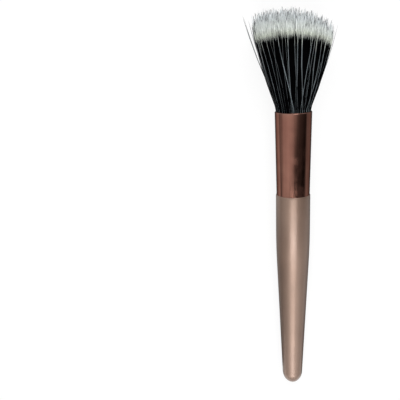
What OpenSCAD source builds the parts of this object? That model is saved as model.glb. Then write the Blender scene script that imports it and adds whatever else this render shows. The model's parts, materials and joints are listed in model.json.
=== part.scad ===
// Stippling brush, lying on a table: turned handle, thin metal ferrule, glued knot of
// short dark hair with long pale fibres through it. Millimetres, table top at z = 0,
// head towards +Y. Brush heights run along its own axis, from 0 at the handle's end.

/* [Handle] */
// Length of the handle from its round end to the ferrule
handle_len = 99; // [80:1:130]
// Diameter of the straight stretch behind the ferrule
handle_d = 16.1; // [12:0.1:20]
// Length of the straight stretch behind the ferrule
grip_len = 16; // [8:0.5:30]
// Diameter where the round end begins
end_d = 9.8; // [6:0.1:13]
// Length of the round end
end_len = 6.4; // [4:0.1:12]
// Radius of the long curve that joins taper and straight stretch
waist_r = 400; // [150:10:600]
// Height of the rounding at the ferrule's edge
shoulder_h = 0.6; // [0.2:0.1:2]

/* [Tenon] */
// Length of the tenon inside the ferrule
tenon_len = 16; // [8:0.5:18]
// Glue room all round the tenon
tenon_gap = 0.1; // [0.02:0.01:0.3]
// Number of glue grooves turned in the tenon
groove_count = 3; // [1:1:4]
// Width of one glue groove
groove_w = 1.2; // [0.6:0.1:2]
// Depth of one glue groove
groove_deep = 0.5; // [0.2:0.1:1.2]

/* [Ferrule] */
// Length of the ferrule
ferrule_len = 39; // [28:0.5:50]
// Depth of the step from the handle down to the ferrule
ferrule_step = 0.3; // [0.1:0.05:1]
// How much wider the ferrule is at its mouth than at the handle
ferrule_flare = 1.5; // [0:0.1:4]
// Thickness of the metal
wall = 0.4; // [0.25:0.05:0.8]
// Diameter of the bead that the mouth is curled into
bead_d = 0.9; // [0.6:0.05:1.4]

/* [Knot] */
// Length of glue between the tenon and the hair's roots
glue_len = 6; // [2:0.5:8]
// How far the glue stands up round the roots
glue_cup = 4; // [1:0.5:8]
// Gap between hair, glue and metal
seat_gap = 0.05; // [0.02:0.01:0.2]
// Room between knot and bead for the long fibres
fibre_room = 0.4; // [0.3:0.05:1]

/* [Hair] */
// Length of the dark hair beyond the mouth, at the front
dark_len = 34; // [20:0.5:50]
// How much shorter the dark hair is at the two sides
dark_drop = 2.6; // [0:0.1:5]
// How far the dark hair's ends are uneven
dark_ragged = 2.2; // [0.5:0.1:4]
// Height of the pale band at the two sides
pale_band = 6.1; // [5:0.1:15]
// Diameter of the head at the rim of its crown
head_d = 36.8; // [24:0.2:46]
// Height of the crown above its rim
crown_h = 7; // [3:0.1:12]
// How far the fibres' ends stand apart in length
tip_spread = 3.2; // [1:0.1:5]
// How much higher the crown is at the left side than at the right
crown_lean = 3.6; // [0:0.1:6]
// How much the sides bow outwards, 0 is straight
flare_bow = 0.35; // [0:0.05:0.6]
// Locks round the head
lock_count = 80; // [30:1:90]
// Depth of the groove between two locks at the rim
lock_deep = 0.9; // [0.3:0.1:2]
// Depth by which the table flattens the head
flat_deep = 1; // [0.5:0.1:2]

/* [Long fibres] */
// Long pale strands that lie on the dark hair
strand_count = 30; // [8:1:44]
// Width of a pale strand where it is widest
strand_w = 0.6; // [0.3:0.05:0.9]
// Loose strands that stand off at the left side
stray_count = 3; // [0:1:5]
// How far the loose strands' ends stand off the head
stray_off = 2.9; // [1:0.1:8]
// How much lower the loose strands end than the longest fibres
stray_short = 3; // [1:0.5:8]

/* [Hidden] */
$fn = 96;
eps = 0.01;

// Heights on the brush axis
mouth_s = handle_len + ferrule_len;
throat_s = mouth_s - bead_d / 2;
tenon_s = handle_len + tenon_len;
root_s = tenon_s + glue_len;
rim_s = mouth_s + dark_len - dark_drop + pale_band;
tip_s = rim_s + crown_h;
stray_s = tip_s - stray_short;

// Radii of the ferrule and of what fits in it
back_r = handle_d / 2 - ferrule_step;
mouth_r = back_r + ferrule_flare / 2;
bead_r = bead_d / 2;
bead_at = mouth_r - bead_r;
tenon_r = back_r - wall - tenon_gap;
throat_r = bead_at - bead_r - fibre_room;
root_r = throat_r - seat_gap;
rim_r = head_d / 2;

// Lying on the table: the round end and the flattened head touch it
tilt = asin((rim_r - flat_deep - end_d / 2) / (rim_s - end_len));
end_drop = norm([cos(tilt) * end_d / 2, sin(tilt) * end_len]);
lift = end_drop - sin(tilt) * end_len;
centre_x = (flare(stray_s) + stray_off - rim_r) / 2;
centre_y = -cos(tilt) * tip_s / 2;

// Hair is a fan: each fibre keeps its direction and its share of the radius
columns = 2 * lock_count;
crown_rings = 18;
stations = 6;
lock_share = lock_deep / rim_r;
lock_dip = rands(0, 0.03, columns, 11);
ragged = rands(0, 1, columns, 12);

function ferrule_r(s) = back_r + (mouth_r - back_r) * (s - handle_len) / ferrule_len;
function bore_r(s) = ferrule_r(s) - wall;

// Radius of the hair bundle at height s
function flare(s) =
    let (u = (s - throat_s) / (rim_s - throat_s))
    throat_r + (rim_r - throat_r) * ((1 + flare_bow) * u - flare_bow * u * u);
function bundle_r(s) =
    s > throat_s ? flare(s) : root_r + (throat_r - root_r) * (s - root_s) / (throat_s - root_s);

// A point of the brush where it lies: nothing goes below the table
function laid(p) = [
    centre_x + p.x,
    centre_y + p.y * sin(tilt) + p.z * cos(tilt),
    max(0, lift - p.y * cos(tilt) + p.z * sin(tilt))
];
function hair_point(share, turn, s) =
    let (r = share * bundle_r(s))
    laid([r * cos(turn), r * sin(turn), s]);

// Heights where the dark hair ends and where the pale fibres end
function dark_s(share, turn) = mouth_s + dark_len - dark_drop * pow(share * cos(turn), 2);
function crown_s(share, turn) =
    tip_s - tip_spread / 2
    - (crown_h - tip_spread / 2) * (pow(share, 2) + pow(share * cos(turn), 2)) / 2
    - crown_lean / 2 * share * cos(turn);

// Locks: even points are the crests, odd points the grooves between them
function lock(i) = i % 2 == 0 ? 1 - lock_dip[i] : 1 - lock_share;
function side_ring(s) =
    [for (i = [0 : columns - 1]) hair_point(lock(i), i * 360 / columns, s)];
function dark_edge(i) = (i % 2 == 0 ? ragged[i] : -ragged[i]) * dark_ragged / 2;
function dark_rim() = [
    for (i = [0 : columns - 1])
        let (turn = i * 360 / columns)
        hair_point(lock(i), turn, dark_s(1, turn) + dark_edge(i))
];
function pale_side() = [
    for (i = [0 : columns - 1])
        let (turn = i * 360 / columns)
        hair_point(lock(i), turn, (dark_s(1, turn) + crown_s(1, turn)) / 2)
];
function inner_ring(share) =
    let (count = max(6, round(columns * share)))
    [for (i = [0 : count - 1]) hair_point(share, i * 360 / count, dark_s(share, i * 360 / count))];

// Ends of the fibres: pointed tufts on every second ring, with gaps all round each
function tuft(i, k, chance) =
    (i % 2 == 0 && k % 2 == 0 ? 0.25 + 0.75 * chance : -0.6 * chance) * tip_spread / 2;
function crown_ring(k) =
    let (share = 1 - k / crown_rings)
    let (count = 2 * max(3, round(lock_count * share)))
    let (chance = rands(0, 1, count, 100 + k))
    [
        for (i = [0 : count - 1])
            let (turn = (i + k / 2 % 2) * 360 / count)
            let (edge = k == 0 ? lock(i) : 1)
            hair_point(share * edge, turn, crown_s(share, turn) + tuft(i, k, chance[i]))
    ];

// Skin from a closed ring a to a ring b that has no more points than a
function skin(a, na, b, nb) = concat(
    [for (i = [0 : na - 1])
        [a + i, b + ceil((i + 1) * nb / na) - 1, a + (i + 1) % na]],
    nb < 2 ? [] : [for (j = [0 : nb - 1])
        [a + floor((j + 1) * na / nb) % na, b + j, b + (j + 1) % nb]]
);
function turned(faces) = [for (face = faces) [face[2], face[1], face[0]]];
function zip(a, na, b, nb) = na >= nb ? skin(a, na, b, nb) : turned(skin(b, nb, a, na));
function ring_start(rings, k) = k == 0 ? 0 : len(rings[k - 1]) + ring_start(rings, k - 1);

// Closed solid through rings, from a first single point to a last one
module ring_solid(rings) {
    starts = [for (k = [0 : len(rings) - 1]) ring_start(rings, k)];
    skins = [
        for (k = [0 : len(rings) - 2])
            zip(starts[k], len(rings[k]), starts[k + 1], len(rings[k + 1]))
    ];
    polyhedron([for (ring = rings) each ring], [for (skin = skins) each skin]);
}

// Turned and drawn pieces are made upright and then laid down
module lie() {
    translate([centre_x, centre_y, lift])
        rotate([tilt - 90, 0, 0])
            children();
}

// Handle outline: round end, taper, long curve, straight stretch, rounded shoulder, tenon
grip_s = handle_len - grip_len;
to_curve = [handle_d / 2 - waist_r - end_d / 2, grip_s - end_len];
taper = atan2(to_curve.x, to_curve.y) + asin(waist_r / norm(to_curve));
end_turn = atan2(end_d / 2, end_len * tan(taper));
groove_step = tenon_len / (groove_count + 1);

module handle_outline() {
    round_end = [
        for (i = [0 : 24])
            let (a = end_turn * i / 24)
            [sin(a) * end_d / 2, (1 - cos(a)) * end_len]
    ];
    long_curve = [
        for (i = [8 : -1 : 0])
            let (a = taper * i / 8)
            [handle_d / 2 - waist_r * (1 - cos(a)), grip_s - waist_r * sin(a)]
    ];
    shoulder = [
        for (i = [0 : 8])
            let (a = 90 * i / 8)
            [handle_d / 2 - ferrule_step * (1 - cos(a)), handle_len - shoulder_h * (1 - sin(a))]
    ];
    polygon(concat(round_end, long_curve, shoulder, [[0, handle_len]]));
}

module handle() {
    color([0.55, 0.45, 0.39]) lie() {
        difference() {
            union() {
                rotate_extrude() handle_outline();
                translate([0, 0, handle_len - eps])
                    cylinder(r = tenon_r, h = tenon_len + eps);
            }
            for (i = [1 : groove_count])
                translate([0, 0, handle_len + i * groove_step - groove_w / 2])
                    difference() {
                        cylinder(r = tenon_r + 1, h = groove_w);
                        translate([0, 0, -1])
                            cylinder(r = tenon_r - groove_deep, h = groove_w + 2);
                    }
        }
    }
}

// Drawn cone of sheet metal, its mouth curled inwards into a bead
module ferrule() {
    color([0.45, 0.29, 0.25]) lie()
        rotate_extrude() {
            polygon([
                [bore_r(handle_len), handle_len],
                [ferrule_r(handle_len), handle_len],
                [mouth_r, throat_s],
                [mouth_r - wall, throat_s]
            ]);
            translate([bead_at, throat_s]) circle(r = bead_r);
        }
}

// Hard glue between tenon and hair, standing up a little round the roots
module glue_plug() {
    cup_s = root_s + glue_cup;
    color([0.85, 0.78, 0.55]) lie()
        rotate_extrude()
            polygon([
                [0, tenon_s],
                [bore_r(tenon_s) - seat_gap, tenon_s],
                [bore_r(cup_s) - seat_gap, cup_s],
                [bundle_r(cup_s) + seat_gap, cup_s],
                [bundle_r(root_s) + seat_gap, root_s],
                [0, root_s]
            ]);
}

// Knot of dark hair: roots in the glue, locks fanning out, ragged dark ends
module dark_hair() {
    edge_s = mouth_s + dark_len - dark_drop - dark_ragged;
    color([0.05, 0.05, 0.06])
        ring_solid(concat(
            [[hair_point(0, 0, root_s)]],
            [side_ring(root_s)],
            [for (k = [0 : stations - 1])
                side_ring(throat_s + (edge_s - throat_s) * k / (stations - 1))],
            [dark_rim()],
            [for (share = [0.7, 0.4, 0.15]) inner_ring(share)],
            [[hair_point(0, 0, dark_s(0, 0))]]
        ));
}

// Ends of the long pale fibres, standing beyond the dark hair in pointed tufts
module pale_tips() {
    color([0.78, 0.80, 0.77])
        ring_solid(concat(
            [[hair_point(0, 0, dark_s(0, 0))]],
            [for (share = [0.15, 0.4, 0.7]) inner_ring(share)],
            [dark_rim()],
            [pale_side()],
            [for (k = [0 : crown_rings - 1]) crown_ring(k)],
            [[hair_point(0, 0, tip_s)]]
        ));
}

// Long pale strands from the glue to the tips, lying on the outside of the dark hair
strand_turns = rands(0.15, 0.85, strand_count, 21);
strand_drifts = rands(-5, 5, strand_count, 22);
strand_ends = rands(0.55, 0.9, strand_count, 23);
strand_widths = rands(0.55, 1, strand_count, 24);
table_turn = 40;
strand_steps = 8;

function strand_s(step, end_s) =
    step == 0 ? root_s + glue_cup + 1 : throat_s + (end_s - throat_s) * (step - 1) / (strand_steps - 1);
function strand_ring(s, turn, w, off) =
    let (r = bundle_r(s) + seat_gap + off)
    let (half = w / r * 90 / PI)
    [
        laid([r * cos(turn + half), r * sin(turn + half), s]),
        laid([r * cos(turn - half), r * sin(turn - half), s]),
        laid([(r + w * 0.8) * cos(turn), (r + w * 0.8) * sin(turn), s])
    ];

module strand(turn, drift, end_s, width, splay) {
    root_w = min(width / 2, (fibre_room - 2 * seat_gap) / 0.8);
    rings = [
        for (step = [0 : strand_steps - 1])
            let (s = strand_s(step, end_s))
            let (along = max(0, s - throat_s) / (end_s - throat_s))
            let (w = root_w + (width - root_w) * sin(180 * along))
            let (off = splay * max(0, along - 0.4) / 0.6)
            strand_ring(s, turn + drift * along, w, off)
    ];
    tip = [laid([
        (bundle_r(end_s) + splay + seat_gap) * cos(turn + drift),
        (bundle_r(end_s) + splay + seat_gap) * sin(turn + drift),
        end_s
    ])];
    ring_solid(concat(
        [[(rings[0][0] + rings[0][1] + rings[0][2]) / 3]],
        rings,
        [tip]
    ));
}

module pale_strands() {
    span = (360 - 2 * table_turn) / strand_count;
    color([0.62, 0.66, 0.68]) {
        for (i = [0 : strand_count - 1])
            strand(
                90 + table_turn + (i + strand_turns[i]) * span,
                strand_drifts[i],
                mouth_s + (tip_s - mouth_s) * strand_ends[i],
                strand_w * strand_widths[i],
                0
            );
        for (i = [0 : 1 : stray_count - 1])
            strand(
                186 + 9 * i,
                -2 * i,
                stray_s - i * stray_short / 2,
                strand_w / 2,
                stray_off * (1 - 0.4 * i / stray_count)
            );
    }
}

handle();
ferrule();
glue_plug();
dark_hair();
pale_tips();
pale_strands();
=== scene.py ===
# Stippling brush lying on a pale table, in metres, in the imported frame.
import json
import math

import bmesh
import bpy
import numpy as np
from mathutils import Matrix, Vector


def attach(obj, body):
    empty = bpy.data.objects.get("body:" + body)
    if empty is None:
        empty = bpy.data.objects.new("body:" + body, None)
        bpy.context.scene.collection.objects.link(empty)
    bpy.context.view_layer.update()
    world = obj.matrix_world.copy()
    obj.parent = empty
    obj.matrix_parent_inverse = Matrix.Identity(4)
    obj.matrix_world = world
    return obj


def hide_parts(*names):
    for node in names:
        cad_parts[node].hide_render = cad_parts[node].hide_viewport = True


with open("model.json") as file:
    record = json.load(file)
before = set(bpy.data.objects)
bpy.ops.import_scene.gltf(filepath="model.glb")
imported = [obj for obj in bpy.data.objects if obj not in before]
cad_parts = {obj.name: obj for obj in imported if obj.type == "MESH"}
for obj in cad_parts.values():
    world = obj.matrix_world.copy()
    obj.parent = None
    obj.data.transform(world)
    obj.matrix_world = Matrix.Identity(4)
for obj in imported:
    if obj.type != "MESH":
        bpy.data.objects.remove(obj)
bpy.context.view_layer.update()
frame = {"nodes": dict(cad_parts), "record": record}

# The brush's own axis, from the mount on it. Heights run along it from 0 at the handle's round end,
# and turns run round it in degrees: 0 is +X, 90 is the side on the table, 270 is the upper side.
axisMount = frame["record"]["mounts"][0]
mountPoint = Vector(axisMount["pos_m"])
towardHead = -Vector(axisMount["axis"]).normalized()
across = Vector((1, 0, 0))
upward = across.cross(towardHead)


def heightSpan(node):
    heights = [(v.co - mountPoint).dot(towardHead) for v in frame["nodes"][node].data.vertices]
    return min(heights), max(heights)


handleStart = heightSpan("handle")[0]
brushStart = mountPoint + handleStart * towardHead
jointHeight, mouthHeight = (h - handleStart for h in heightSpan("ferrule"))
rootHeight = heightSpan("dark_hair")[0] - handleStart
print(f"axis found: joint {jointHeight:.4f}, mouth {mouthHeight:.4f}, roots {rootHeight:.4f} m")


def spotAt(height, out=0.0, side=0.0):
    return brushStart + height * towardHead + out * upward + side * across


# ---- camera, floor and light
cameraView = {
    "aimHeight": 0.0976,
    "distance": 0.2994,
    "leanDegrees": 15.0,  # stands on the head's side, so the ferrule's edge is seen from above
    "aside": 0.044,  # stands to the left of the brush
    "lens": 57.0,
    "rollDegrees": -2.03,
}


def placeCamera(values):
    lean = math.radians(values["leanDegrees"])
    back = math.cos(lean) * upward + math.sin(lean) * towardHead
    pictureUp = math.cos(lean) * towardHead - math.sin(lean) * upward
    place = spotAt(values["aimHeight"]) + values["distance"] * back - values["aside"] * across
    facing = Matrix((across, pictureUp, back)).transposed().to_4x4()
    roll = Matrix.Rotation(math.radians(values["rollDegrees"]), 4, "Z")
    lensData = bpy.data.cameras.new("photoCamera")
    lensData.lens = values["lens"]
    lensData.sensor_width = 36.0
    lensData.clip_start = 0.01
    camera = bpy.data.objects.new("photoCamera", lensData)
    camera.matrix_world = Matrix.Translation(place) @ facing @ roll
    bpy.context.scene.collection.objects.link(camera)
    bpy.context.scene.camera = camera


bpy.context.scene.view_settings.view_transform = "Standard"
placeCamera(cameraView)
print("camera placed")


def newMaterial(name):
    material = bpy.data.materials.new(name)
    material.use_nodes = True
    tree = material.node_tree
    tree.nodes.clear()
    return material, tree


def addNode(tree, kind, place=(0, 0), **settings):
    node = tree.nodes.new(kind)
    node.location = place
    for key, value in settings.items():
        setattr(node, key, value)
    return node


def setSockets(node, **values):
    for name, value in values.items():
        node.inputs[name.replace("_", " ")].default_value = value
    return node


def reckon(tree, operation, first, second, place):
    node = addNode(tree, "ShaderNodeMath", place, operation=operation)
    for socket, value in zip(node.inputs, (first, second)):
        if isinstance(value, bpy.types.NodeSocket):
            tree.links.new(value, socket)
        else:
            socket.default_value = value
    return node.outputs[0]


stageLook = {
    "floorSize": 6.0,
    "floorColour": (0.82, 0.82, 0.82, 1.0),
    "floorGlow": 0.86,  # share of plain white that camera, gloss and glass see, the rest keeps the shadow
    "wallLevel": 0.45,
    "cardLift": 0.0012,  # a card's low rungs stay this far above the table
}


def seenDirectly(tree, share, place):
    # share of plain white for camera, gloss and glass, and none of it for the light on the object
    ray = addNode(tree, "ShaderNodeLightPath", (place[0] - 560, place[1]))
    seen = reckon(tree, "MAXIMUM", ray.outputs["Is Camera Ray"], ray.outputs["Is Glossy Ray"],
                  (place[0] - 360, place[1]))
    seenToo = reckon(tree, "MAXIMUM", seen, ray.outputs["Is Transmission Ray"],
                     (place[0] - 180, place[1]))
    return reckon(tree, "MULTIPLY", seenToo, share, place)


def makeFloor(values):
    bm = bmesh.new()
    bmesh.ops.create_grid(bm, x_segments=1, y_segments=1, size=values["floorSize"] / 2)
    mesh = bpy.data.meshes.new("paleFloor")
    bm.to_mesh(mesh)
    bm.free()
    floor = bpy.data.objects.new("paleFloor", mesh)
    bpy.context.scene.collection.objects.link(floor)
    material, tree = newMaterial("palePaper")
    diffuse = addNode(tree, "ShaderNodeBsdfDiffuse", (-200, 100))
    diffuse.inputs["Color"].default_value = values["floorColour"]
    glow = addNode(tree, "ShaderNodeEmission", (-200, -60))
    setSockets(glow, Strength=1.0)
    mix = addNode(tree, "ShaderNodeMixShader", (0, 60))
    tree.links.new(seenDirectly(tree, values["floorGlow"], (-240, 260)), mix.inputs[0])
    tree.links.new(diffuse.outputs[0], mix.inputs[1])
    tree.links.new(glow.outputs[0], mix.inputs[2])
    out = addNode(tree, "ShaderNodeOutputMaterial", (200, 60))
    tree.links.new(mix.outputs[0], out.inputs["Surface"])
    mesh.materials.append(material)


def makeWorld(values):
    world = bpy.data.worlds.new("softRoom")
    bpy.context.scene.world = world
    world.use_nodes = True
    tree = world.node_tree
    background = tree.nodes["Background"]
    background.inputs["Color"].default_value = (1.0, 1.0, 1.0, 1.0)
    seen = seenDirectly(tree, 1.0 - values["wallLevel"], (-400, 260))
    level = reckon(tree, "ADD", seen, values["wallLevel"], (-200, 200))
    tree.links.new(level, background.inputs["Strength"])


def softLamp(name, place, target, size, power):
    lampData = bpy.data.lights.new(name, "AREA")
    lampData.shape = "RECTANGLE"
    lampData.size, lampData.size_y = size
    lampData.energy = power
    lamp = bpy.data.objects.new(name, lampData)
    aim = (place - target).normalized()
    sideways = towardHead.cross(aim).normalized()
    lamp.matrix_world = Matrix.Translation(place) @ Matrix(
        (sideways, aim.cross(sideways), aim)
    ).transposed().to_4x4()
    bpy.context.scene.collection.objects.link(lamp)


def glossCard(name, heights, rungs):
    # a studio card that only gloss sees: it runs along the brush over the given heights and bends over its
    # rungs, each given as out, side and its glow at the heights, where the last glow holds to the card's end
    bm = bmesh.new()
    glowOf = bm.verts.layers.float.new("glow")
    rows = []
    for out, side, *glows in rungs:
        rows.append([])
        for height, glow in zip(heights, glows + glows[-1:]):
            spot = spotAt(height, out, side)
            spot.z = max(spot.z, stageLook["cardLift"])
            vert = bm.verts.new(spot)
            vert[glowOf] = glow
            rows[-1].append(vert)
    for first, second in zip(rows, rows[1:]):
        for step in range(len(heights) - 1):
            bm.faces.new((first[step], first[step + 1], second[step + 1], second[step]))
    mesh = bpy.data.meshes.new(name)
    bm.to_mesh(mesh)
    bm.free()
    card = bpy.data.objects.new(name, mesh)
    bpy.context.scene.collection.objects.link(card)
    card.visible_camera = False
    card.visible_diffuse = False
    card.visible_transmission = False
    card.visible_shadow = False
    material, tree = newMaterial(name)
    shade = addNode(tree, "ShaderNodeAttribute", (-200, 0), attribute_name="glow")
    face = addNode(tree, "ShaderNodeEmission")
    tree.links.new(shade.outputs["Fac"], face.inputs["Strength"])
    out = addNode(tree, "ShaderNodeOutputMaterial", (200, 0))
    tree.links.new(face.outputs[0], out.inputs["Surface"])
    mesh.materials.append(material)


makeFloor(stageLook)
makeWorld(stageLook)
softLamp("nearStrip", spotAt(-0.132, 0.55, -0.05), spotAt(0.05), (0.40, 0.02), 1.2)
softLamp("farStrip", spotAt(-0.48, 0.55, -0.05), spotAt(0.05), (0.40, 0.24), 2.0)
softLamp("headLamp", spotAt(0.44, 0.42, -0.02), spotAt(0.16), (0.45, 0.35), 2.2)
onTable = -0.05  # low enough to be lifted to the table's own height
glossCard("leftFerruleCard", (0.003, 0.03, 0.09, 0.5), [
    (0.366, -0.03, 0.2, 0.75, 1.05), (0.30, -0.12, 0.4, 1.15, 1.25), (0.24, -0.20, 1.2, 1.4, 1.4),
    (0.17, -0.26, 1.1, 1.15, 1.25), (0.10, -0.31, 1.1, 1.1, 1.2), (0.04, -0.34, 0.85, 0.7, 0.7),
    (onTable, -0.30, 0.55, 0.45, 0.6), (onTable, -0.16, 0.3, 0.2, 0.75), (onTable, -0.08, 0.25, 0.0, 0.35),
    (onTable, -0.035, 0.25, 0.2, 1.15), (onTable, -0.012, 0.3, 0.5, 0.65), (onTable, -0.003, 0.15, 0.1, 0.0),
])
glossCard("leftHandleCard", (-0.5, -0.2, -0.03), [
    (0.30, -0.14, 2.1, 2.0, 1.6), (0.24, -0.20, 2.1, 2.0, 1.2), (0.17, -0.26, 1.8, 1.45, 0.15),
    (0.08, -0.32, 1.4, 1.05, 0.0), (onTable, -0.30, 1.0, 0.75, 0.0), (onTable, -0.16, 0.85, 0.7, 0.35),
])
glossCard("rightFerruleCard", (-0.03, 0.0, 0.09, 0.26), [
    (0.37, -0.03, 0.1, 0.45, 0.7), (0.365, 0.01, 0.0, 0.0, 0.9), (0.36, 0.05, 0.0, 0.0, 0.75),
    (0.33, 0.14, 0.7, 0.05, 0.3), (0.27, 0.21, 1.15, 0.05, 0.15), (0.19, 0.27, 1.55, 0.0, 0.1),
    (0.09, 0.32, 1.95, 0.05, 0.05), (onTable, 0.30, 1.65, 0.65, 0.55), (onTable, 0.16, 1.3, 1.15, 0.4),
    (onTable, 0.08, 1.1, 1.35, 0.5), (onTable, 0.035, 0.7, 0.7, 0.65), (onTable, 0.012, 0.35, 0.15, 0.3),
    (onTable, 0.003, 0.25, 0.2, 0.25),
])
glossCard("rightHandleCard", (-0.5, -0.2, -0.06), [
    (0.30, 0.12, 2.2, 2.2, 2.2), (0.24, 0.20, 1.95, 1.95, 1.95), (0.17, 0.26, 1.45, 1.15, 1.15),
    (0.08, 0.32, 1.0, 0.8, 1.0), (onTable, 0.30, 0.85, 0.75, 0.9), (onTable, 0.16, 0.85, 0.8, 0.8),
])
glossCard("endCard", (-0.2, -0.003), [(-0.003, -0.1, 2.0), (-0.003, 0.1, 1.6)])
print("floor, room and lamps ready")


# ---- hair: a fan in which each fibre keeps its direction and its share of the bundle's radius
headShape = {
    "throatRadius": 0.0072,
    "rootRadius": 0.00715,
    "rimRadius": 0.0184,
    "bow": 0.35,
    "darkLength": 0.03435,  # beyond the mouth, at the front
    "darkDrop": 0.0035,  # how much shorter at the two sides
    "darkLean": 0.0016,  # and a little shorter at the right side than at the left
    "rimLength": 0.0375,
    "crownHeight": 0.0073,
    "tipSpread": 0.0032,
    "crownLean": 0.0054,
    "beadRadius": 0.00045,
}
throatHeight = mouthHeight - headShape["beadRadius"]
rimHeight = mouthHeight + headShape["rimLength"]
tipHeight = rimHeight + headShape["crownHeight"]
fibreLift = 0.00004  # fibres that lie on the table stay this far above it


def bundleRadius(height):
    throat, rim, bow = headShape["throatRadius"], headShape["rimRadius"], headShape["bow"]
    rise = (height - throatHeight) / (rimHeight - throatHeight)
    fanned = throat + (rim - throat) * ((1 + bow) * rise - bow * rise * rise)
    sunk = (height - rootHeight) / (throatHeight - rootHeight)
    packed = headShape["rootRadius"] + (throat - headShape["rootRadius"]) * sunk
    return np.where(height > throatHeight, fanned, packed)


def darkTop(share, turn):
    sideways = share * np.cos(turn)
    return (mouthHeight + headShape["darkLength"] - headShape["darkDrop"] * sideways ** 2
            - headShape["darkLean"] * sideways)


def crownTop(share, turn):
    sideways = share * np.cos(turn)
    dome = headShape["crownHeight"] - headShape["tipSpread"] / 2
    return (tipHeight - headShape["tipSpread"] / 2 - dome * (share ** 2 + sideways ** 2) / 2
            - headShape["crownLean"] / 2 * sideways)


def laidDown(x, y, height, thick):
    # brush coordinates to the table: y points down to it, and nothing goes through it
    base, head, up = np.array(brushStart), np.array(towardHead), np.array(upward)
    spots = (base + x[..., None] * np.array(across) - y[..., None] * up + height[..., None] * head)
    spots[..., 2] = np.maximum(spots[..., 2], thick / 2 + fibreLift)
    return spots


def lockCentres(spacing, seed):
    # middles of the small locks that fibres gather into, in shares of the bundle's radius
    chance = np.random.default_rng(seed)
    steps = np.arange(-1.05, 1.05, spacing)
    grid = np.stack(np.meshgrid(steps, steps), -1).reshape(-1, 2)
    grid = grid + chance.uniform(-0.45, 0.45, grid.shape) * spacing
    return grid[np.hypot(grid[:, 0], grid[:, 1]) < 1.0]


def onDisc(share, turn):
    return np.stack((share * np.cos(turn), share * np.sin(turn)), -1)


def nearestLock(points, centres):
    gaps = ((points[:, None, :] - centres[None, :, :]) ** 2).sum(-1)
    return gaps.argmin(1)


def softStep(value):
    value = np.clip(value, 0, 1)
    return value * value * (3 - 2 * value)


fibreHabits = {
    "steady": 1.3,  # the fan opens on past the rim up to this share of its rise
    "lowerBend": 0.43,  # streaks that follow the photo turn over this much of the rise
    "upperBend": 0.35,  # and then over this much more
    "freeing": 0.0022,  # a fibre comes out from under the dark hair over this length
    "ripples": 7,  # radians of a wave over the fan's rise
    "standFrom": 0.38,  # loose fibres leave the head here
}


def fibrePaths(plan, stations):
    # middle line of every fibre, as x, y and height at each station
    along = np.array(stations)[None, :]
    height = plan["start"][:, None] + (plan["end"] - plan["start"])[:, None] * along
    fan = np.clip((height - throatHeight) / (rimHeight - throatHeight), 0, fibreHabits["steady"])
    turn = plan["turn"][:, None] + plan["drift"][:, None] * fan
    if "bends" in plan:
        lower, upper = plan["bends"]
        beyond = (fan - fibreHabits["lowerBend"]) / fibreHabits["upperBend"]
        turn = turn + lower[:, None] * np.clip(fan / fibreHabits["lowerBend"], 0, 1)
        turn = turn + upper[:, None] * np.clip(beyond, 0, 1.2)
    edge = darkTop(plan["share"], plan["turn"])[:, None]
    freed = softStep((height - edge + plan["emerge"][:, None]) / fibreHabits["freeing"])
    share = plan["share"][:, None] * (1 - plan["tuck"][:, None] * (1 - freed))
    point = onDisc(share, turn)
    gather = softStep((height - height[:, -1:] + plan["gather"][:, None]) / plan["gather"][:, None])
    pull = plan["pull"][:, None, None] * (fan ** 2 * gather)[..., None]
    point = point + (plan["lock"][:, None, :] - plan["lockFrom"][:, None, :]) * pull
    swing = np.sin(plan["phase"][:, None] + fibreHabits["ripples"] * fan)
    wave = plan["wave"][:, None] * swing * fan
    reach = bundleRadius(height)
    if "standOff" in plan:
        leaving = np.maximum(0, fan - fibreHabits["standFrom"]) / (1 - fibreHabits["standFrom"])
        reach = reach + plan["standOff"][:, None] * leaving
    spread = np.hypot(point[..., 0], point[..., 1])
    point = point * np.minimum(1, 1 / np.maximum(spread, 1e-6))[..., None]
    return point[..., 0] * reach + wave, point[..., 1] * reach, height


def fibrePlan(count, seed, share, turn, start, end, width, pull=0.5, drift=0.0, wave=0.0, tuck=0.0,
              emerge=0.0014, gather=0.03, locks=None):
    chance = np.random.default_rng(seed)
    locks = lockCentres(**darkLocks) if locks is None else locks
    points = onDisc(share, turn)
    nearest = nearestLock(points, locks)
    full = np.ones(count)
    return {
        "share": share, "turn": turn, "start": start * full, "end": end * full, "width": width * full,
        "pull": pull * full, "drift": drift * full, "wave": wave * full, "tuck": tuck * full,
        "emerge": emerge * full, "gather": gather * full,
        "phase": chance.uniform(0, 6.28, count), "shade": chance.uniform(0, 1, count),
        "lock": locks[nearest], "lockFrom": points,
        "spin": chance.uniform(0, 6.28, count),
    }


def finishPiece(name, bm, material):
    for face in bm.faces:
        face.smooth = True
    mesh = bpy.data.meshes.new(name)
    bm.to_mesh(mesh)
    bm.free()
    mesh.materials.append(material)
    piece = bpy.data.objects.new(name, mesh)
    bpy.context.scene.collection.objects.link(piece)
    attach(piece, "root")
    return piece


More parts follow.
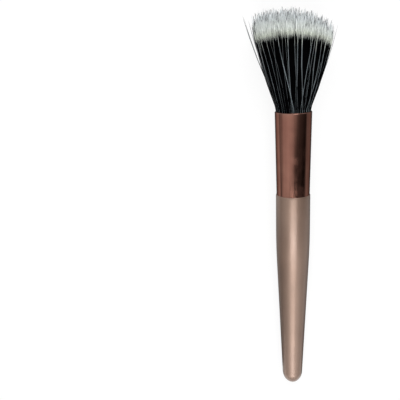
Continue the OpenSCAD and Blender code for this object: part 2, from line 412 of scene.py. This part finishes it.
def growFibres(name, plan, stations, taper, material):
    # every fibre starts as a small triangle, and all of them are extruded together, station by station
    x, y, height = fibrePaths(plan, stations)
    thick = plan["width"][:, None] * np.array(taper)[None, :]
    middle = laidDown(x, y, height, thick)
    corner = plan["spin"][:, None] + np.arange(3)[None, :] * 2 * math.pi / 3
    ring = (np.cos(corner)[..., None] * np.array(across) + np.sin(corner)[..., None] * np.array(upward))
    spots = middle[:, :, None, :] + ring[:, None, :, :] * thick[:, :, None, None] / 2
    edge = darkTop(plan["share"], plan["turn"])[:, None]
    rise = (height - edge) / (crownTop(plan["share"], plan["turn"])[:, None] - edge)
    bm = bmesh.new()
    fibreOf, cornerOf = bm.verts.layers.int.new("fibre"), bm.verts.layers.int.new("corner")
    riseOf, shadeOf = bm.verts.layers.float.new("rise"), bm.verts.layers.float.new("shade")
    alongOf, speckOf = bm.verts.layers.float.new("along"), bm.verts.layers.float.new("speck")
    speck = plan.get("speck", np.zeros(len(thick)))
    for fibre in range(len(thick)):
        root = bmesh.ops.create_circle(bm, cap_ends=True, segments=3, radius=float(thick[fibre, 0] / 2))
        for corner, vert in enumerate(root["verts"]):
            vert[fibreOf], vert[cornerOf] = fibre, corner
            vert[riseOf], vert[shadeOf], vert[speckOf] = rise[fibre, 0], plan["shade"][fibre], speck[fibre]
            vert.co = spots[fibre, 0, corner]
    ends = bm.faces[:]
    for station in range(1, len(stations)):
        grown = bmesh.ops.extrude_face_region(bm, geom=ends, use_keep_orig=station == 1)["geom"]
        ends = [part for part in grown if isinstance(part, bmesh.types.BMFace)]
        for vert in (part for part in grown if isinstance(part, bmesh.types.BMVert)):
            vert.co = spots[vert[fibreOf], station, vert[cornerOf]]
            vert[riseOf] = rise[vert[fibreOf], station]
            vert[alongOf] = stations[station]
    bmesh.ops.recalc_face_normals(bm, faces=bm.faces)
    bm.verts.layers.int.remove(bm.verts.layers.int["fibre"])
    bm.verts.layers.int.remove(bm.verts.layers.int["corner"])
    print(f"{name}: {len(thick)} fibres, {sum(len(f.verts) - 2 for f in bm.faces)} triangles")
    return finishPiece(name, bm, material)


def atHeight(height):
    return lambda share, turns: height


def belowDark(drop):
    return lambda share, turns: darkTop(share, turns) - drop


def belowCrown(drop):
    return lambda share, turns: crownTop(share, turns) - drop


def coreBundle(name, rings, columns, material):
    # solid middle of the bundle: a disc extruded through rings of (share, height rule)
    bm = bmesh.new()
    columnOf = bm.verts.layers.int.new("column")
    riseOf = bm.verts.layers.float.new("rise")
    root = bmesh.ops.create_circle(bm, cap_ends=True, segments=columns, radius=0.005)
    turns = np.arange(columns) * 2 * math.pi / columns
    for column, vert in enumerate(root["verts"]):
        vert[columnOf] = column
    ends, verts = bm.faces[:], root["verts"]
    for number, (share, rule) in enumerate(rings):
        height = rule(share, turns) * np.ones(columns)
        reach = share * bundleRadius(height)
        spots = laidDown(reach * np.cos(turns), reach * np.sin(turns), height, np.zeros(columns))
        edge = darkTop(share, turns)
        rise = (height - edge) / (crownTop(share, turns) - edge)
        for vert in verts:
            vert.co = spots[vert[columnOf]]
            vert[riseOf] = rise[vert[columnOf]]
        if number + 1 < len(rings):
            grown = bmesh.ops.extrude_face_region(bm, geom=ends, use_keep_orig=number == 0)["geom"]
            ends = [part for part in grown if isinstance(part, bmesh.types.BMFace)]
            verts = [part for part in grown if isinstance(part, bmesh.types.BMVert)]
    bmesh.ops.recalc_face_normals(bm, faces=bm.faces)
    bm.verts.layers.int.remove(bm.verts.layers.int["column"])
    return finishPiece(name, bm, material)


# ---- finishes
brushTilt = math.asin(towardHead.z)


def brushCoordinates(tree):
    # Object coordinates turned so that X runs across, Y along the brush from its round end
    # and Z up from its axis
    straighten = Matrix.Rotation(-brushTilt, 3, "X")
    source = addNode(tree, "ShaderNodeTexCoord", (-1400, 0))
    turned = addNode(tree, "ShaderNodeMapping", (-1220, 0))
    turned.inputs["Rotation"].default_value = (-brushTilt, 0, 0)
    turned.inputs["Location"].default_value = -(straighten @ brushStart)
    tree.links.new(source.outputs["Object"], turned.inputs["Vector"])
    return turned.outputs["Vector"]


def stretched(tree, vector, scale, place):
    node = addNode(tree, "ShaderNodeMapping", place)
    node.inputs["Scale"].default_value = scale
    tree.links.new(vector, node.inputs["Vector"])
    return node.outputs["Vector"]


def noiseOn(tree, vector, scale, place, detail=2.0):
    node = addNode(tree, "ShaderNodeTexNoise", place)
    setSockets(node, Scale=scale, Detail=detail)
    tree.links.new(vector, node.inputs["Vector"])
    return node.outputs["Fac"]


def remap(tree, value, low, high, newLow, newHigh, place):
    node = addNode(tree, "ShaderNodeMapRange", place)
    setSockets(node, From_Min=low, From_Max=high, To_Min=newLow, To_Max=newHigh)
    tree.links.new(value, node.inputs["Value"])
    return node.outputs["Result"]


def mixColours(tree, factor, first, second, place):
    node = addNode(tree, "ShaderNodeMix", place, data_type="RGBA")
    for socket, value in ((node.inputs[0], factor), (node.inputs[6], first), (node.inputs[7], second)):
        if isinstance(value, bpy.types.NodeSocket):
            tree.links.new(value, socket)
        else:
            socket.default_value = value
    return node.outputs[2]


def makeGroup(name, inputs, outputs):
    group = bpy.data.node_groups.new(name, "ShaderNodeTree")
    for label, kind, value in inputs:
        socket = group.interface.new_socket(name=label, in_out="INPUT", socket_type=kind)
        if value is not None:
            socket.default_value = value
    for label, kind in outputs:
        group.interface.new_socket(name=label, in_out="OUTPUT", socket_type=kind)
    return group, addNode(group, "NodeGroupInput", (-900, 0)), addNode(group, "NodeGroupOutput", (500, 0))


def placeGroup(tree, group, place, **values):
    node = addNode(tree, "ShaderNodeGroup", place, node_tree=group)
    for name, value in values.items():
        socket = node.inputs[name.replace("_", " ")]
        if isinstance(value, bpy.types.NodeSocket):
            tree.links.new(value, socket)
        else:
            socket.default_value = value
    return node


def handlingMarks():
    # smudges and soft scuffs of a tool in daily use: a mask and a height, shared by lacquer and metal
    group, source, out = makeGroup(
        "handlingMarks",
        [("Vector", "NodeSocketVector", None), ("Smudge Size", "NodeSocketFloat", 120.0),
         ("Scuff Size", "NodeSocketFloat", 900.0), ("Amount", "NodeSocketFloat", 0.5)],
        [("Smudge", "NodeSocketFloat"), ("Scuff", "NodeSocketFloat")],
    )
    smudge = addNode(group, "ShaderNodeTexNoise", (-600, 160))
    setSockets(smudge, Detail=3.0, Roughness=0.6, Distortion=0.4)
    scuff = addNode(group, "ShaderNodeTexNoise", (-600, -120))
    setSockets(scuff, Detail=4.0, Roughness=0.7)
    for name, node in (("Smudge Size", smudge), ("Scuff Size", scuff)):
        group.links.new(source.outputs["Vector"], node.inputs["Vector"])
        group.links.new(source.outputs[name], node.inputs["Scale"])
    soft = remap(group, smudge.outputs["Fac"], 0.42, 0.66, 0.0, 1.0, (-380, 160))
    fine = remap(group, scuff.outputs["Fac"], 0.55, 0.75, 0.0, 1.0, (-380, -120))
    for name, mask, place in (("Smudge", soft, (-160, 160)), ("Scuff", fine, (-160, -120))):
        scaled = reckon(group, "MULTIPLY", mask, source.outputs["Amount"], place)
        group.links.new(scaled, out.inputs[name])
    return group


def bumpFrom(tree, height, strength, distance, place, normal=None):
    node = addNode(tree, "ShaderNodeBump", place)
    setSockets(node, Strength=strength, Distance=distance)
    tree.links.new(height, node.inputs["Height"])
    if normal is not None:
        tree.links.new(normal, node.inputs["Normal"])
    return node.outputs["Normal"]


def surface(tree, **constants):
    shader = addNode(tree, "ShaderNodeBsdfPrincipled", (300, 0))
    setSockets(shader, **constants)
    out = addNode(tree, "ShaderNodeOutputMaterial", (600, 0))
    tree.links.new(shader.outputs[0], out.inputs["Surface"])
    return shader


marks = handlingMarks()

lacquerLook = {
    "colour": (0.198, 0.128, 0.094, 1.0),
    "deepColour": (0.168, 0.107, 0.078, 1.0),
    "flakeColour": (0.29, 0.205, 0.16, 1.0),
    "metallic": 0.68,
    "roughness": 0.40,
}


def lacquerMaterial(values):
    material, tree = newMaterial("taupeLacquer")
    vector = brushCoordinates(tree)
    cloud = noiseOn(tree, vector, 70.0, (-900, 300), detail=2.0)
    grain = noiseOn(tree, stretched(tree, vector, (900, 26, 900), (-1100, 60)), 1.0, (-900, 60), detail=3.0)
    flake = noiseOn(tree, vector, 5200.0, (-900, -180), detail=1.0)
    tone = mixColours(tree, remap(tree, cloud, 0.3, 0.7, 0.0, 1.0, (-700, 300)),
                      values["deepColour"], values["colour"], (-480, 260))
    grained = mixColours(tree, remap(tree, grain, 0.35, 0.7, 0.0, 0.3, (-700, 60)),
                         tone, values["deepColour"], (-300, 220))
    flaked = mixColours(tree, remap(tree, flake, 0.58, 0.75, 0.0, 0.5, (-700, -180)),
                        grained, values["flakeColour"], (-120, 180))
    worn = placeGroup(tree, marks, (-700, -420), Vector=vector, Smudge_Size=95.0, Scuff_Size=1100.0,
                      Amount=1.0)
    rough = remap(tree, worn.outputs["Smudge"], 0.0, 1.0, values["roughness"] - 0.03,
                  values["roughness"] + 0.05, (-300, -240))
    wavy = noiseOn(tree, vector, 900.0, (-900, -640), detail=1.0)
    peel = bumpFrom(tree, wavy, 0.12, 0.00004, (-60, -420))
    scuffed = bumpFrom(tree, worn.outputs["Scuff"], 0.10, 0.00001, (120, -420), peel)
    shader = surface(tree, Metallic=values["metallic"], Specular_Tint=(0.45, 0.45, 0.45, 1.0),
                     Coat_Weight=0.6, Coat_Roughness=0.27)
    tree.links.new(flaked, shader.inputs["Base Color"])
    tree.links.new(rough, shader.inputs["Roughness"])
    tree.links.new(scuffed, shader.inputs["Normal"])
    return material


ferruleLook = {
    "colour": (0.235, 0.112, 0.083, 1.0),
    "deepColour": (0.19, 0.086, 0.064, 1.0),
    # painted highlight: this colour lightens a band along the rolled lip at the mouth, in place of its
    # reflection
    "rimHighlightColour": (0.21, 0.112, 0.088, 1.0),
    "roughness": 0.12,
}


def ferruleMaterial(values):
    material, tree = newMaterial("brownAnodised")
    vector = brushCoordinates(tree)
    drawn = noiseOn(tree, stretched(tree, vector, (60, 9000, 60), (-1100, 260)), 1.0, (-900, 260), detail=2.0)
    cloud = noiseOn(tree, vector, 110.0, (-900, 40), detail=2.0)
    tone = mixColours(tree, remap(tree, cloud, 0.3, 0.7, 0.0, 1.0, (-700, 40)),
                      values["deepColour"], values["colour"], (-480, 120))
    height = addNode(tree, "ShaderNodeSeparateXYZ", (-1100, -140))
    tree.links.new(vector, height.inputs[0])
    # painted highlight band along the rolled lip, just below the mouth
    rimHighlightMask = remap(tree, height.outputs["Y"], mouthHeight - 0.0011, mouthHeight - 0.0005, 0.0, 0.8,
                    (-700, -140))
    rimHighlighted = mixColours(tree, rimHighlightMask, tone, values["rimHighlightColour"], (-260, 100))
    worn = placeGroup(tree, marks, (-700, -380), Vector=vector, Smudge_Size=140.0, Scuff_Size=1500.0,
                      Amount=1.0)
    rough = remap(tree, worn.outputs["Smudge"], 0.0, 1.0, values["roughness"] - 0.02,
                  values["roughness"] + 0.06, (-260, -240))
    lines = bumpFrom(tree, drawn, 0.08, 0.00001, (-60, -420))
    scuffed = bumpFrom(tree, worn.outputs["Scuff"], 0.08, 0.00001, (120, -420), lines)
    shader = surface(tree, Metallic=1.0, Specular_Tint=(0.33, 0.37, 0.39, 1.0))
    tree.links.new(rimHighlighted, shader.inputs["Base Color"])
    tree.links.new(rough, shader.inputs["Roughness"])
    tree.links.new(scuffed, shader.inputs["Normal"])
    return material


def glueMaterial():
    material, tree = newMaterial("amberGlue")
    vector = brushCoordinates(tree)
    cloud = noiseOn(tree, vector, 300.0, (-700, 100), detail=3.0)
    tone = mixColours(tree, remap(tree, cloud, 0.3, 0.7, 0.0, 1.0, (-480, 100)),
                      (0.42, 0.28, 0.11, 1.0), (0.58, 0.43, 0.20, 1.0), (-240, 100))
    shader = surface(tree, Roughness=0.25)
    tree.links.new(tone, shader.inputs["Base Color"])
    return material


def fibreTones():
    # colour of one fibre by how far it has risen from the dark edge (0) to the crown (1),
    # and by its own shade; for pale fibres the root colour is painted shade under the dark hair, and the tip
    # colour painted shade between their ends
    group, source, out = makeGroup(
        "fibreTones",
        [("Root Colour", "NodeSocketColor", None), ("Edge Colour", "NodeSocketColor", None),
         ("Middle Colour", "NodeSocketColor", None), ("Tip Colour", "NodeSocketColor", None),
         ("Edge Start", "NodeSocketFloat", -0.4), ("Edge End", "NodeSocketFloat", 0.1),
         ("Tip Start", "NodeSocketFloat", 0.7), ("Tip End", "NodeSocketFloat", 1.05),
         ("Shade Depth", "NodeSocketFloat", 0.3), ("Speck Colour", "NodeSocketColor", None)],
        [("Color", "NodeSocketColor"), ("Shade", "NodeSocketFloat")],
    )
    rise = addNode(group, "ShaderNodeAttribute", (-900, 300), attribute_name="rise")
    shade = addNode(group, "ShaderNodeAttribute", (-900, -300), attribute_name="shade")
    colour = source.outputs["Root Colour"]
    steps = (("Edge Start", "Edge End", "Edge Colour"), (None, None, "Middle Colour"),
             ("Tip Start", "Tip End", "Tip Colour"))
    for number, (low, high, target) in enumerate(steps):
        node = addNode(group, "ShaderNodeMapRange", (-650 + 220 * number, 300))
        group.links.new(rise.outputs["Fac"], node.inputs["Value"])
        if low is None:
            setSockets(node, From_Min=0.05, From_Max=0.45)
        else:
            group.links.new(source.outputs[low], node.inputs["From Min"])
            group.links.new(source.outputs[high], node.inputs["From Max"])
        colour = mixColours(group, node.outputs["Result"], colour, source.outputs[target],
                            (-540 + 220 * number, 60))
    along = addNode(group, "ShaderNodeAttribute", (-900, -480), attribute_name="along")
    speck = addNode(group, "ShaderNodeAttribute", (-900, -660), attribute_name="speck")
    nearEnd = remap(group, along.outputs["Fac"], 0.76, 0.88, 0.0, 1.0, (-650, -480))
    dotted = reckon(group, "MULTIPLY", nearEnd, speck.outputs["Fac"], (-430, -560))
    colour = mixColours(group, dotted, colour, source.outputs["Speck Colour"], (120, 60))
    dip = reckon(group, "MULTIPLY", shade.outputs["Fac"], source.outputs["Shade Depth"], (-100, -260))
    bright = reckon(group, "SUBTRACT", 1.0, dip, (60, -260))
    toned = addNode(group, "ShaderNodeHueSaturation", (260, 40))
    group.links.new(colour, toned.inputs["Color"])
    group.links.new(bright, toned.inputs["Value"])
    group.links.new(toned.outputs["Color"], out.inputs["Color"])
    group.links.new(shade.outputs["Fac"], out.inputs["Shade"])
    return group


tones = fibreTones()


def fibreMaterial(name, tonesAt, roughLow, roughHigh, **constants):
    material, tree = newMaterial(name)
    toned = placeGroup(tree, tones, (-200, 100), **tonesAt)
    rough = remap(tree, toned.outputs["Shade"], 0.0, 1.0, roughLow, roughHigh, (40, -100))
    shader = surface(tree, **constants)
    tree.links.new(toned.outputs["Color"], shader.inputs["Base Color"])
    tree.links.new(rough, shader.inputs["Roughness"])
    return material


# painted shade: the root colour darkens the pale fibres where they lie under the dark hair
paleTone = {
    "Root_Colour": (0.14, 0.155, 0.16, 1.0), "Edge_Colour": (0.77, 0.81, 0.72, 1.0),
    # painted shade: the tip colour greys and blues the ends of the pale fibres for the shade between them
    "Middle_Colour": (0.79, 0.83, 0.80, 1.0), "Tip_Colour": (0.71, 0.75, 0.765, 1.0),
    "Edge_Start": -0.35, "Edge_End": 0.0, "Tip_Start": 0.6, "Tip_End": 0.95, "Shade_Depth": 0.16,
    "Speck_Colour": (0.03, 0.031, 0.033, 1.0),
}
# painted shade: the long pale fibres are painted blue-grey where they run among the dark hair, brightening up
# into the pale band
streakTone = dict(paleTone, Root_Colour=(0.16, 0.19, 0.205, 1.0), Edge_Start=-0.9, Edge_End=0.15,
                  Shade_Depth=0.72)
looseTone = dict(paleTone, Root_Colour=(0.02, 0.022, 0.024, 1.0), Edge_Colour=(0.17, 0.18, 0.19, 1.0),
                 Middle_Colour=(0.22, 0.23, 0.24, 1.0), Tip_Colour=(0.12, 0.125, 0.135, 1.0),
                 Edge_Start=-1.9, Edge_End=-1.2)
darkTone = {
    "Root_Colour": (0.0016, 0.0016, 0.002, 1.0), "Edge_Colour": (0.0016, 0.0016, 0.002, 1.0),
    "Middle_Colour": (0.002, 0.002, 0.0024, 1.0), "Tip_Colour": (0.004, 0.004, 0.0044, 1.0),
    "Speck_Colour": (0.005, 0.005, 0.0055, 1.0),
    "Edge_Start": -0.35, "Edge_End": 0.05, "Tip_Start": 0.7, "Tip_End": 1.05, "Shade_Depth": 0.5,
}

frame["nodes"]["handle"].data.materials[0] = lacquerMaterial(lacquerLook)
frame["nodes"]["ferrule"].data.materials[0] = ferruleMaterial(ferruleLook)
frame["nodes"]["glue_plug"].data.materials[0] = glueMaterial()
paleFinish = fibreMaterial("palePolymerFibre", paleTone, 0.45, 0.6, Specular_IOR_Level=0.15)
streakFinish = fibreMaterial("longPaleFibre", streakTone, 0.38, 0.5, Specular_IOR_Level=0.25)
looseFinish = fibreMaterial("looseFibre", looseTone, 0.38, 0.5, Specular_IOR_Level=0.2)
darkFinish = fibreMaterial("blackFibre", darkTone, 0.42, 0.6, Specular_IOR_Level=0.0)
print("finishes made")


# ---- the knot
rootDepth = 0.003  # the shown fibres begin this far inside the ferrule's mouth
coreColumns = 96
darkLocks = {"spacing": 0.085, "seed": 5}
paleLocks = {"spacing": 0.07, "seed": 6}


def randomFan(count, seed, outer, inner=0.0):
    # shares spread evenly over the bundle's section between two shares, and turns all round
    chance = np.random.default_rng(seed)
    share = np.sqrt(chance.uniform(inner ** 2, outer ** 2, count))
    return chance, share, chance.uniform(0, 2 * math.pi, count)


darkValues = {
    "outerCount": 4600,
    "innerCount": 1500,
    "thick": 0.00026,
    "ragged": 0.0003,
    "lockRagged": 0.0010,
    "edgeFrom": 0.985,  # at the left and right edge a few fibres run on beside the pale ends
    "edgeOut": 0.95,
    "edgeShare": 0.6,
    "edgeRise": 0.0045,
    "edgeLean": 0.0012,  # more so at the left
    "stations": [0.0, 0.12, 0.4, 0.68, 0.88, 1.0],
    "taper": [0.62, 0.7, 0.95, 1.0, 0.7, 0.12],
}


def makeDarkHair(values):
    locks = lockCentres(**darkLocks)
    chance, share, turn = randomFan(values["outerCount"], 31, 1.0, 0.84)
    lockLength = np.random.default_rng(32).uniform(-1, 1, len(locks)) * values["lockRagged"]
    near = nearestLock(onDisc(share, turn), locks)
    end = darkTop(share, turn) + lockLength[near] + chance.normal(0, values["ragged"], values["outerCount"])
    picked = np.random.default_rng(36).uniform(0, 1, values["outerCount"]) < values["edgeShare"]
    edge = picked & (np.abs(np.cos(turn)) > values["edgeFrom"]) & (share > values["edgeOut"])
    end[edge] += values["edgeRise"] - values["edgeLean"] * np.cos(turn[edge])
    plan = fibrePlan(
        values["outerCount"], 33, share, turn, throatHeight - rootDepth, end,
        values["thick"] * chance.uniform(0.7, 1.25, values["outerCount"]), pull=0.45,
        drift=chance.normal(0, 0.035, values["outerCount"]),
        wave=chance.uniform(0, 0.00012, values["outerCount"]), locks=locks,
    )
    outer = growFibres("darkFibres", plan, values["stations"], values["taper"], darkFinish)
    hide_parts("dark_hair")
    chance, share, turn = randomFan(values["innerCount"], 34, 0.9)
    near = nearestLock(onDisc(share, turn), locks)
    end = darkTop(share, turn) + lockLength[near] + chance.normal(0, values["ragged"], values["innerCount"])
    plan = fibrePlan(
        values["innerCount"], 35, share, turn, end - 0.007, end,
        values["thick"] * 1.3, pull=0.45, locks=locks,
    )
    growFibres("darkInnerEnds", plan, [0.0, 0.5, 0.8, 1.0], [1.0, 1.0, 0.7, 0.12], darkFinish)
    coreBundle("darkCore", [
        (0.9, atHeight(rootHeight)), (0.9, atHeight(throatHeight)), (0.91, atHeight(mouthHeight + 0.008)),
        (0.92, atHeight(mouthHeight + 0.018)), (0.92, atHeight(mouthHeight + 0.027)),
        (0.9, belowDark(0.003)), (0.84, belowDark(0.0022)), (0.5, belowDark(0.0022)),
        (0.1, belowDark(0.0022)),
    ], coreColumns, darkFinish)


paleValues = {
    "count": 6000,
    "rimCount": 2600,  # so many of them stand beyond this share of the radius
    "rimFrom": 0.88,
    "thick": 0.00025,
    "sunk": 0.0021,  # the dense part of the crown ends this far below its outline
    "spikes": 0.0013,  # and the fibres beyond it thin out over this length
    "longestSpike": 0.0042,
    "cornerDrop": 0.0028,  # it is rounded off at its two sides, where only the tufts stand up
    "cornerFrom": 0.72,
    "lockRagged": (-0.0010, 0.0012),
    "speckShare": 0.32,  # locks whose longer fibres darken at their ends
    "stations": [0.0, 0.25, 0.55, 0.8, 1.0],
    "taper": [0.6, 1.0, 0.95, 0.5, 0.06],
}


def makePaleEnds(values):
    locks = lockCentres(**paleLocks)
    lockLength = np.random.default_rng(42).uniform(*values["lockRagged"], len(locks))
    lockSpeck = (np.random.default_rng(44).uniform(0, 1, len(locks)) < values["speckShare"]) * 1.0
    chance = np.random.default_rng(41)
    rim = values["rimCount"]
    share = np.sqrt(chance.uniform(0, 1, values["count"]))
    share[:rim] = np.sqrt(chance.uniform(values["rimFrom"] ** 2, 1, rim))
    turn = chance.uniform(0, 2 * math.pi, values["count"])
    near = nearestLock(onDisc(share, turn), locks)
    spike = np.minimum(chance.exponential(values["spikes"], values["count"]), values["longestSpike"])
    sideways = np.abs(share * np.cos(turn))
    corner = softStep((sideways - values["cornerFrom"]) / (1 - values["cornerFrom"])) * values["cornerDrop"]
    end = crownTop(share, turn) + lockLength[near] - values["sunk"] - corner + spike
    start = darkTop(share, turn) - chance.uniform(0.0015, 0.0045, values["count"])
    plan = fibrePlan(
        values["count"], 43, share, turn, start, end,
        values["thick"] * chance.uniform(0.7, 1.2, values["count"]), pull=0.7, gather=0.005,
        drift=chance.normal(0, 0.03, values["count"]), tuck=0.12 * (share > 0.6),
        emerge=chance.uniform(0.0018, 0.0042, values["count"]), locks=locks,
    )
    plan["speck"] = np.clip((spike - 0.0004) / 0.0008, 0, 1) * lockSpeck[near]
    piece = growFibres("paleFibres", plan, values["stations"], values["taper"], paleFinish)
    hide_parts("pale_tips")
    coreBundle("paleCore", [
        (0.8, belowDark(0.003)), (0.9, belowDark(0.0008)), (0.95, belowDark(-0.0008)),
        (0.95, belowCrown(0.0048)), (0.8, belowCrown(0.0046)), (0.5, belowCrown(0.0046)),
        (0.1, belowCrown(0.0046)),
    ], coreColumns, paleFinish)


tuftValues = {
    # the longest fibres stick together in fine points that stand above the crown, many of them darkened at
    # their ends
    "count": 460,
    "thick": 0.00038,
    "above": 0.0033,
    "darkShare": 0.75,
    "stations": [0.0, 0.4, 0.7, 0.88, 1.0],
    "taper": [0.5, 1.0, 0.95, 0.75, 0.12],
}


def makeTufts(values):
    chance, share, turn = randomFan(values["count"], 71, 1.0)
    end = crownTop(share, turn) - 0.0006 + chance.uniform(-0.35, 1.0, values["count"]) * values["above"]
    plan = fibrePlan(
        values["count"], 72, share, turn, end - chance.uniform(0.005, 0.008, values["count"]), end,
        values["thick"] * chance.uniform(0.6, 1.2, values["count"]), pull=0.0,
        drift=chance.normal(0, 0.03, values["count"]),
    )
    dark = chance.uniform(0, 1, values["count"]) < values["darkShare"]
    plan["speck"] = dark * chance.uniform(0.7, 1.0, values["count"])
    growFibres("tipTufts", plan, values["stations"], values["taper"], paleFinish)


streakValues = {
    # across the front as the camera sees it, in shares of the half width: at the mouth, half way
    # and at the top, and then the share of the bold width
    "front": [
        (0.06, -0.25, -0.36, 1.25), (0.53, 0.25, 0.21, 1.25), (0.86, 0.61, 0.57, 1.3),
        (0.28, 0.07, 0.03, 0.8), (-0.80, -0.72, -0.80, 0.6), (-0.40, -0.40, -0.56, 0.55),
        (0.75, 0.76, 0.70, 0.8), (0.92, 0.85, 0.80, 0.7), (0.40, 0.39, 0.45, 0.5),
        (-0.05, -0.14, -0.14, 0.7), (-0.62, -0.58, -0.66, 0.4), (-0.2, -0.3, -0.28, 0.5),
        (0.15, 0.12, 0.10, 0.5), (0.64, 0.50, 0.52, 0.6), (-0.95, -0.9, -0.91, 0.4),
        (-0.5, -0.52, -0.5, 0.4),
    ],
    "frontTurn": 261.4,  # the turn that faces the camera
    "bold": 0.00042,
    "backCount": 18,  # bold ones on the side that lies on the table
    "backTurns": (25, 155),
    "fineCount": 26,
    "fine": 0.00013,
    "stations": [0.0, 0.12, 0.35, 0.58, 0.78, 0.92, 1.0],
    "taper": [0.4, 0.55, 0.9, 1.0, 0.85, 0.45, 0.08],
}


def makeStreaks(values):
    chance = np.random.default_rng(51)
    bold = np.array(values["front"])
    fromFront = np.radians(values["frontTurn"]) + np.arcsin(bold[:, :3])
    backTurn = np.radians(chance.uniform(*values["backTurns"], values["backCount"]))
    drift = chance.normal(0, 0.06, values["backCount"])
    backTurns = np.stack((backTurn, backTurn + drift / 2, backTurn + drift), -1)
    fineTurn = chance.uniform(0, 2 * math.pi, values["fineCount"])
    fineDrift = chance.normal(0, 0.08, values["fineCount"])
    fineTurns = np.stack((fineTurn, fineTurn + fineDrift / 2, fineTurn + fineDrift), -1)
    turns = np.concatenate((fromFront, backTurns, fineTurns))
    count = len(turns)
    width = np.concatenate((
        values["bold"] * bold[:, 3], values["bold"] * chance.uniform(0.7, 1.2, values["backCount"]),
        values["fine"] * chance.uniform(0.6, 1.3, values["fineCount"]),
    ))
    end = crownTop(np.ones(count), turns[:, 2]) + chance.uniform(-0.0025, 0.0012, count)
    plan = fibrePlan(count, 52, np.full(count, 1.0), turns[:, 0], throatHeight - rootDepth, end,
                     width, pull=0.0)
    plan["bends"] = turns[:, 1] - turns[:, 0], turns[:, 2] - turns[:, 1]
    piece = growFibres("longFibres", plan, values["stations"], values["taper"], streakFinish)
    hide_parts("pale_strands")


looseValues = {
    # turn at the mouth in degrees, drift, how far the end stands off, how much lower it ends, width
    "fibres": [
        (186, 0, 0.0029, 0.0022, 0.00042), (188, -1, 0.0027, 0.0030, 0.00026),
        (195, -2, 0.0017, 0.0045, 0.00036), (204, -4, 0.0009, 0.0060, 0.00030),
        (352, 4, 0.0009, 0.0075, 0.00028), (184, 2, 0.0002, 0.0062, 0.00024),
        (176, 0, 0.0001, 0.0085, 0.00024), (2, -3, 0.0003, 0.0095, 0.00026),
        (356, -2, 0.0001, 0.0110, 0.00024),
    ],
    "stations": [0.0, 0.15, 0.4, 0.6, 0.8, 0.93, 1.0],
    "taper": [0.7, 0.8, 1.0, 1.0, 0.85, 0.5, 0.1],
}


def makeLooseFibres(values):
    turn, drift, off, lower, width = np.array(values["fibres"]).T
    count = len(turn)
    plan = fibrePlan(count, 61, np.full(count, 1.0), np.radians(turn), throatHeight - rootDepth,
                     tipHeight - lower, width, pull=0.0, drift=np.radians(drift))
    plan["standOff"] = off
    growFibres("looseFibres", plan, values["stations"], values["taper"], looseFinish)


makeDarkHair(darkValues)
makePaleEnds(paleValues)
makeTufts(tuftValues)
makeStreaks(streakValues)
makeLooseFibres(looseValues)
print("knot made")
